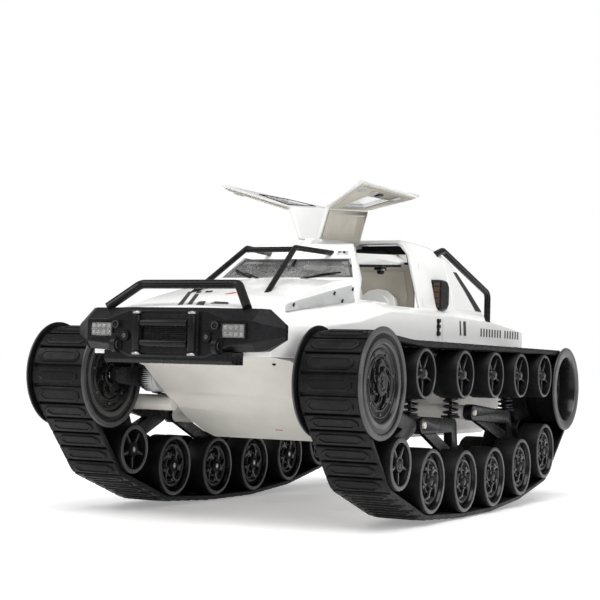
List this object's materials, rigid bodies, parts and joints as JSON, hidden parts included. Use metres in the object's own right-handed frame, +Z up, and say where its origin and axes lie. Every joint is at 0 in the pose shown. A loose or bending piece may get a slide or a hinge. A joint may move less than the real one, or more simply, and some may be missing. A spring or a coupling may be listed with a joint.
{
  "type": "tracked radio-control vehicle",
  "caption": "Tracked model vehicle: open white cab with gull-wing doors on a low hull, with winch bumper, roll bars, coil-sprung wheel arms and wide rubber tracks",
  "frame": {"origin": "centre of the outline on the floor, under the tracks", "axes": "+X to the front of the vehicle, +Y to its left, +Z up"},
  "size_m": [0.438, 0.228, 0.2179],
  "materials": {
    "white_paint": "glossy white moulded body",
    "hull_plastic": "satin off-white moulded tub",
    "cream_plastic": "beige matt interior",
    "grey_plastic": "mid grey satin plastic",
    "black_plastic": "satin black moulded plastic with fine grain",
    "black_steel": "semi-gloss black coated bar",
    "wheel_plastic": "satin black wheels",
    "track_rubber": "matt black rubber, lightly dusty",
    "spring_steel": "dark drawn wire",
    "battery_wrap": "shrink-wrapped cell pack",
    "lamp_lens": "clear moulded lens",
    "window_glass": "clear grey-tinted sheet"
  },
  "bodies": {
    "root": {"lower_hull": "hull_plastic", "upper_body_shell": "white_paint", "front_bumper": "black_plastic", "bull_bar": "black_steel", "light_bars": "lamp_lens", "winch_and_tow_eyes": "black_plastic", "windshield_glass": "window_glass", "windshield_guard": "black_steel", "rear_roll_cage": "black_steel", "cabin_interior": "cream_plastic", "drive_units": "grey_plastic", "battery_pack": "battery_wrap", "control_board": "black_plastic", "damper_barrels": "black_plastic", "air_scoops": "black_plastic", "side_vents": "grey_plastic", "track_belt_left": "track_rubber", "track_belt_right": "track_rubber", "damper_spring_left_1": "spring_steel", "damper_spring_left_2": "spring_steel", "damper_spring_left_3": "spring_steel", "damper_spring_right_1": "spring_steel", "damper_spring_right_2": "spring_steel", "damper_spring_right_3": "spring_steel"},
    "drive_wheel_left": {"drive_wheel_left": "wheel_plastic"},
    "rear_idler_left": {"rear_idler_left": "wheel_plastic"},
    "return_roller_left_1": {"return_roller_left_1": "wheel_plastic"},
    "return_roller_left_2": {"return_roller_left_2": "wheel_plastic"},
    "return_roller_left_3": {"return_roller_left_3": "wheel_plastic"},
    "return_roller_left_4": {"return_roller_left_4": "wheel_plastic"},
    "return_roller_left_5": {"return_roller_left_5": "wheel_plastic"},
    "swing_arm_left_1": {"swing_arm_left_1": "black_plastic"},
    "swing_arm_left_2": {"swing_arm_left_2": "black_plastic"},
    "swing_arm_left_3": {"swing_arm_left_3": "black_plastic"},
    "guide_wheel_left": {"guide_wheel_left": "wheel_plastic"},
    "road_wheel_left_1": {"road_wheel_left_1": "wheel_plastic"},
    "road_wheel_left_2": {"road_wheel_left_2": "wheel_plastic"},
    "road_wheel_left_3": {"road_wheel_left_3": "wheel_plastic"},
    "road_wheel_left_4": {"road_wheel_left_4": "wheel_plastic"},
    "road_wheel_left_5": {"road_wheel_left_5": "wheel_plastic"},
    "door_left": {"door_left": "white_paint", "door_window_left": "window_glass"},
    "drive_wheel_right": {"drive_wheel_right": "wheel_plastic"},
    "rear_idler_right": {"rear_idler_right": "wheel_plastic"},
    "return_roller_right_1": {"return_roller_right_1": "wheel_plastic"},
    "return_roller_right_2": {"return_roller_right_2": "wheel_plastic"},
    "return_roller_right_3": {"return_roller_right_3": "wheel_plastic"},
    "return_roller_right_4": {"return_roller_right_4": "wheel_plastic"},
    "return_roller_right_5": {"return_roller_right_5": "wheel_plastic"},
    "swing_arm_right_1": {"swing_arm_right_1": "black_plastic"},
    "swing_arm_right_2": {"swing_arm_right_2": "black_plastic"},
    "swing_arm_right_3": {"swing_arm_right_3": "black_plastic"},
    "guide_wheel_right": {"guide_wheel_right": "wheel_plastic"},
    "road_wheel_right_1": {"road_wheel_right_1": "wheel_plastic"},
    "road_wheel_right_2": {"road_wheel_right_2": "wheel_plastic"},
    "road_wheel_right_3": {"road_wheel_right_3": "wheel_plastic"},
    "road_wheel_right_4": {"road_wheel_right_4": "wheel_plastic"},
    "road_wheel_right_5": {"road_wheel_right_5": "wheel_plastic"},
    "door_right": {"door_right": "white_paint", "door_window_right": "window_glass"}
  },
  "joints": [
    {"name": "drive_wheel_left_spin", "type": "hinge", "parent": "root", "child": "drive_wheel_left", "pos_m": [0.161, 0.0925, 0.0869], "axis": [0, 1, 0], "continuous": true},
    {"name": "rear_idler_left_spin", "type": "hinge", "parent": "root", "child": "rear_idler_left", "pos_m": [-0.184, 0.0925, 0.0835], "axis": [0, 1, 0], "continuous": true},
    {"name": "return_roller_left_1_spin", "type": "hinge", "parent": "root", "child": "return_roller_left_1", "pos_m": [0.098, 0.0925, 0.0931], "axis": [0, 1, 0], "continuous": true},
    {"name": "return_roller_left_2_spin", "type": "hinge", "parent": "root", "child": "return_roller_left_2", "pos_m": [0.032, 0.0925, 0.0931], "axis": [0, 1, 0], "continuous": true},
    {"name": "return_roller_left_3_spin", "type": "hinge", "parent": "root", "child": "return_roller_left_3", "pos_m": [-0.0253, 0.0925, 0.0931], "axis": [0, 1, 0], "continuous": true},
    {"name": "return_roller_left_4_spin", "type": "hinge", "parent": "root", "child": "return_roller_left_4", "pos_m": [-0.078, 0.0925, 0.0931], "axis": [0, 1, 0], "continuous": true},
    {"name": "return_roller_left_5_spin", "type": "hinge", "parent": "root", "child": "return_roller_left_5", "pos_m": [-0.1306, 0.0925, 0.0931], "axis": [0, 1, 0], "continuous": true},
    {"name": "swing_arm_left_1_swing", "type": "hinge", "parent": "root", "child": "swing_arm_left_1", "pos_m": [0.12, 0.0925, 0.07], "axis": [0, 1, 0], "range_deg": [0, 5], "stiffness_Nm_per_rad": 2, "springref_deg": -1.72, "deforming": ["damper_spring_left_1"]},
    {"name": "swing_arm_left_2_swing", "type": "hinge", "parent": "root", "child": "swing_arm_left_2", "pos_m": [0.0565, 0.0925, 0.06], "axis": [0, 1, 0], "range_deg": [0, 5], "stiffness_Nm_per_rad": 2, "springref_deg": -1.72, "deforming": ["damper_spring_left_2"]},
    {"name": "swing_arm_left_3_swing", "type": "hinge", "parent": "root", "child": "swing_arm_left_3", "pos_m": [-0.033, 0.0925, 0.067], "axis": [0, 1, 0], "range_deg": [0, 5], "stiffness_Nm_per_rad": 2, "springref_deg": -1.72, "deforming": ["damper_spring_left_3"]},
    {"name": "guide_wheel_left_spin", "type": "hinge", "parent": "swing_arm_left_1", "child": "guide_wheel_left", "pos_m": [0.1335, 0.0925, 0.0398], "axis": [0, 1, 0], "continuous": true},
    {"name": "road_wheel_left_1_spin", "type": "hinge", "parent": "swing_arm_left_1", "child": "road_wheel_left_1", "pos_m": [0.084, 0.0925, 0.0273], "axis": [0, 1, 0], "continuous": true},
    {"name": "road_wheel_left_2_spin", "type": "hinge", "parent": "swing_arm_left_2", "child": "road_wheel_left_2", "pos_m": [0.0275, 0.0925, 0.02445], "axis": [0, 1, 0], "continuous": true},
    {"name": "road_wheel_left_3_spin", "type": "hinge", "parent": "swing_arm_left_2", "child": "road_wheel_left_3", "pos_m": [-0.0265, 0.0925, 0.02445], "axis": [0, 1, 0], "continuous": true},
    {"name": "road_wheel_left_4_spin", "type": "hinge", "parent": "swing_arm_left_3", "child": "road_wheel_left_4", "pos_m": [-0.0821, 0.0925, 0.0286], "axis": [0, 1, 0], "continuous": true},
    {"name": "road_wheel_left_5_spin", "type": "hinge", "parent": "swing_arm_left_3", "child": "road_wheel_left_5", "pos_m": [-0.1348, 0.0925, 0.0379], "axis": [0, 1, 0], "continuous": true},
    {"name": "door_left_hinge", "type": "hinge", "parent": "root", "child": "door_left", "pos_m": [0.005, 0.0056, 0.1775], "axis": [-1, 0, 0], "range_deg": [0, 74]},
    {"name": "drive_wheel_right_spin", "type": "hinge", "parent": "root", "child": "drive_wheel_right", "pos_m": [0.161, -0.0925, 0.0869], "axis": [0, 1, 0], "continuous": true},
    {"name": "rear_idler_right_spin", "type": "hinge", "parent": "root", "child": "rear_idler_right", "pos_m": [-0.184, -0.0925, 0.0835], "axis": [0, 1, 0], "continuous": true},
    {"name": "return_roller_right_1_spin", "type": "hinge", "parent": "root", "child": "return_roller_right_1", "pos_m": [0.098, -0.0925, 0.0931], "axis": [0, 1, 0], "continuous": true},
    {"name": "return_roller_right_2_spin", "type": "hinge", "parent": "root", "child": "return_roller_right_2", "pos_m": [0.032, -0.0925, 0.0931], "axis": [0, 1, 0], "continuous": true},
    {"name": "return_roller_right_3_spin", "type": "hinge", "parent": "root", "child": "return_roller_right_3", "pos_m": [-0.0253, -0.0925, 0.0931], "axis": [0, 1, 0], "continuous": true},
    {"name": "return_roller_right_4_spin", "type": "hinge", "parent": "root", "child": "return_roller_right_4", "pos_m": [-0.078, -0.0925, 0.0931], "axis": [0, 1, 0], "continuous": true},
    {"name": "return_roller_right_5_spin", "type": "hinge", "parent": "root", "child": "return_roller_right_5", "pos_m": [-0.1306, -0.0925, 0.0931], "axis": [0, 1, 0], "continuous": true},
    {"name": "swing_arm_right_1_swing", "type": "hinge", "parent": "root", "child": "swing_arm_right_1", "pos_m": [0.12, -0.0925, 0.07], "axis": [0, 1, 0], "range_deg": [0, 5], "stiffness_Nm_per_rad": 2, "springref_deg": -1.72, "deforming": ["damper_spring_right_1"]},
    {"name": "swing_arm_right_2_swing", "type": "hinge", "parent": "root", "child": "swing_arm_right_2", "pos_m": [0.0565, -0.0925, 0.06], "axis": [0, 1, 0], "range_deg": [0, 5], "stiffness_Nm_per_rad": 2, "springref_deg": -1.72, "deforming": ["damper_spring_right_2"]},
    {"name": "swing_arm_right_3_swing", "type": "hinge", "parent": "root", "child": "swing_arm_right_3", "pos_m": [-0.033, -0.0925, 0.067], "axis": [0, 1, 0], "range_deg": [0, 5], "stiffness_Nm_per_rad": 2, "springref_deg": -1.72, "deforming": ["damper_spring_right_3"]},
    {"name": "guide_wheel_right_spin", "type": "hinge", "parent": "swing_arm_right_1", "child": "guide_wheel_right", "pos_m": [0.1335, -0.0925, 0.0398], "axis": [0, 1, 0], "continuous": true},
    {"name": "road_wheel_right_1_spin", "type": "hinge", "parent": "swing_arm_right_1", "child": "road_wheel_right_1", "pos_m": [0.084, -0.0925, 0.0273], "axis": [0, 1, 0], "continuous": true},
    {"name": "road_wheel_right_2_spin", "type": "hinge", "parent": "swing_arm_right_2", "child": "road_wheel_right_2", "pos_m": [0.0275, -0.0925, 0.02445], "axis": [0, 1, 0], "continuous": true},
    {"name": "road_wheel_right_3_spin", "type": "hinge", "parent": "swing_arm_right_2", "child": "road_wheel_right_3", "pos_m": [-0.0265, -0.0925, 0.02445], "axis": [0, 1, 0], "continuous": true},
    {"name": "road_wheel_right_4_spin", "type": "hinge", "parent": "swing_arm_right_3", "child": "road_wheel_right_4", "pos_m": [-0.0821, -0.0925, 0.0286], "axis": [0, 1, 0], "continuous": true},
    {"name": "road_wheel_right_5_spin", "type": "hinge", "parent": "swing_arm_right_3", "child": "road_wheel_right_5", "pos_m": [-0.1348, -0.0925, 0.0379], "axis": [0, 1, 0], "continuous": true},
    {"name": "door_right_hinge", "type": "hinge", "parent": "root", "child": "door_right", "pos_m": [0.005, -0.0056, 0.1775], "axis": [1, 0, 0], "range_deg": [0, 74]}
  ],
  "couplings": [
    {"joint": "rear_idler_left_spin", "follows": "drive_wheel_left_spin", "ratio": 1.0437},
    {"joint": "return_roller_left_1_spin", "follows": "drive_wheel_left_spin", "ratio": 1.6805},
    {"joint": "return_roller_left_2_spin", "follows": "drive_wheel_left_spin", "ratio": 1.6805},
    {"joint": "return_roller_left_3_spin", "follows": "drive_wheel_left_spin", "ratio": 1.6805},
    {"joint": "return_roller_left_4_spin", "follows": "drive_wheel_left_spin", "ratio": 1.6805},
    {"joint": "return_roller_left_5_spin", "follows": "drive_wheel_left_spin", "ratio": 1.6805},
    {"joint": "guide_wheel_left_spin", "follows": "drive_wheel_left_spin", "ratio": 1.6646},
    {"joint": "road_wheel_left_1_spin", "follows": "drive_wheel_left_spin", "ratio": 1.3117},
    {"joint": "road_wheel_left_2_spin", "follows": "drive_wheel_left_spin", "ratio": 1.3117},
    {"joint": "road_wheel_left_3_spin", "follows": "drive_wheel_left_spin", "ratio": 1.3117},
    {"joint": "road_wheel_left_4_spin", "follows": "drive_wheel_left_spin", "ratio": 1.3117},
    {"joint": "road_wheel_left_5_spin", "follows": "drive_wheel_left_spin", "ratio": 1.3117},
    {"joint": "rear_idler_right_spin", "follows": "drive_wheel_right_spin", "ratio": 1.0437},
    {"joint": "return_roller_right_1_spin", "follows": "drive_wheel_right_spin", "ratio": 1.6805},
    {"joint": "return_roller_right_2_spin", "follows": "drive_wheel_right_spin", "ratio": 1.6805},
    {"joint": "return_roller_right_3_spin", "follows": "drive_wheel_right_spin", "ratio": 1.6805},
    {"joint": "return_roller_right_4_spin", "follows": "drive_wheel_right_spin", "ratio": 1.6805},
    {"joint": "return_roller_right_5_spin", "follows": "drive_wheel_right_spin", "ratio": 1.6805},
    {"joint": "guide_wheel_right_spin", "follows": "drive_wheel_right_spin", "ratio": 1.6646},
    {"joint": "road_wheel_right_1_spin", "follows": "drive_wheel_right_spin", "ratio": 1.3117},
    {"joint": "road_wheel_right_2_spin", "follows": "drive_wheel_right_spin", "ratio": 1.3117},
    {"joint": "road_wheel_right_3_spin", "follows": "drive_wheel_right_spin", "ratio": 1.3117},
    {"joint": "road_wheel_right_4_spin", "follows": "drive_wheel_right_spin", "ratio": 1.3117},
    {"joint": "road_wheel_right_5_spin", "follows": "drive_wheel_right_spin", "ratio": 1.3117}
  ]
}
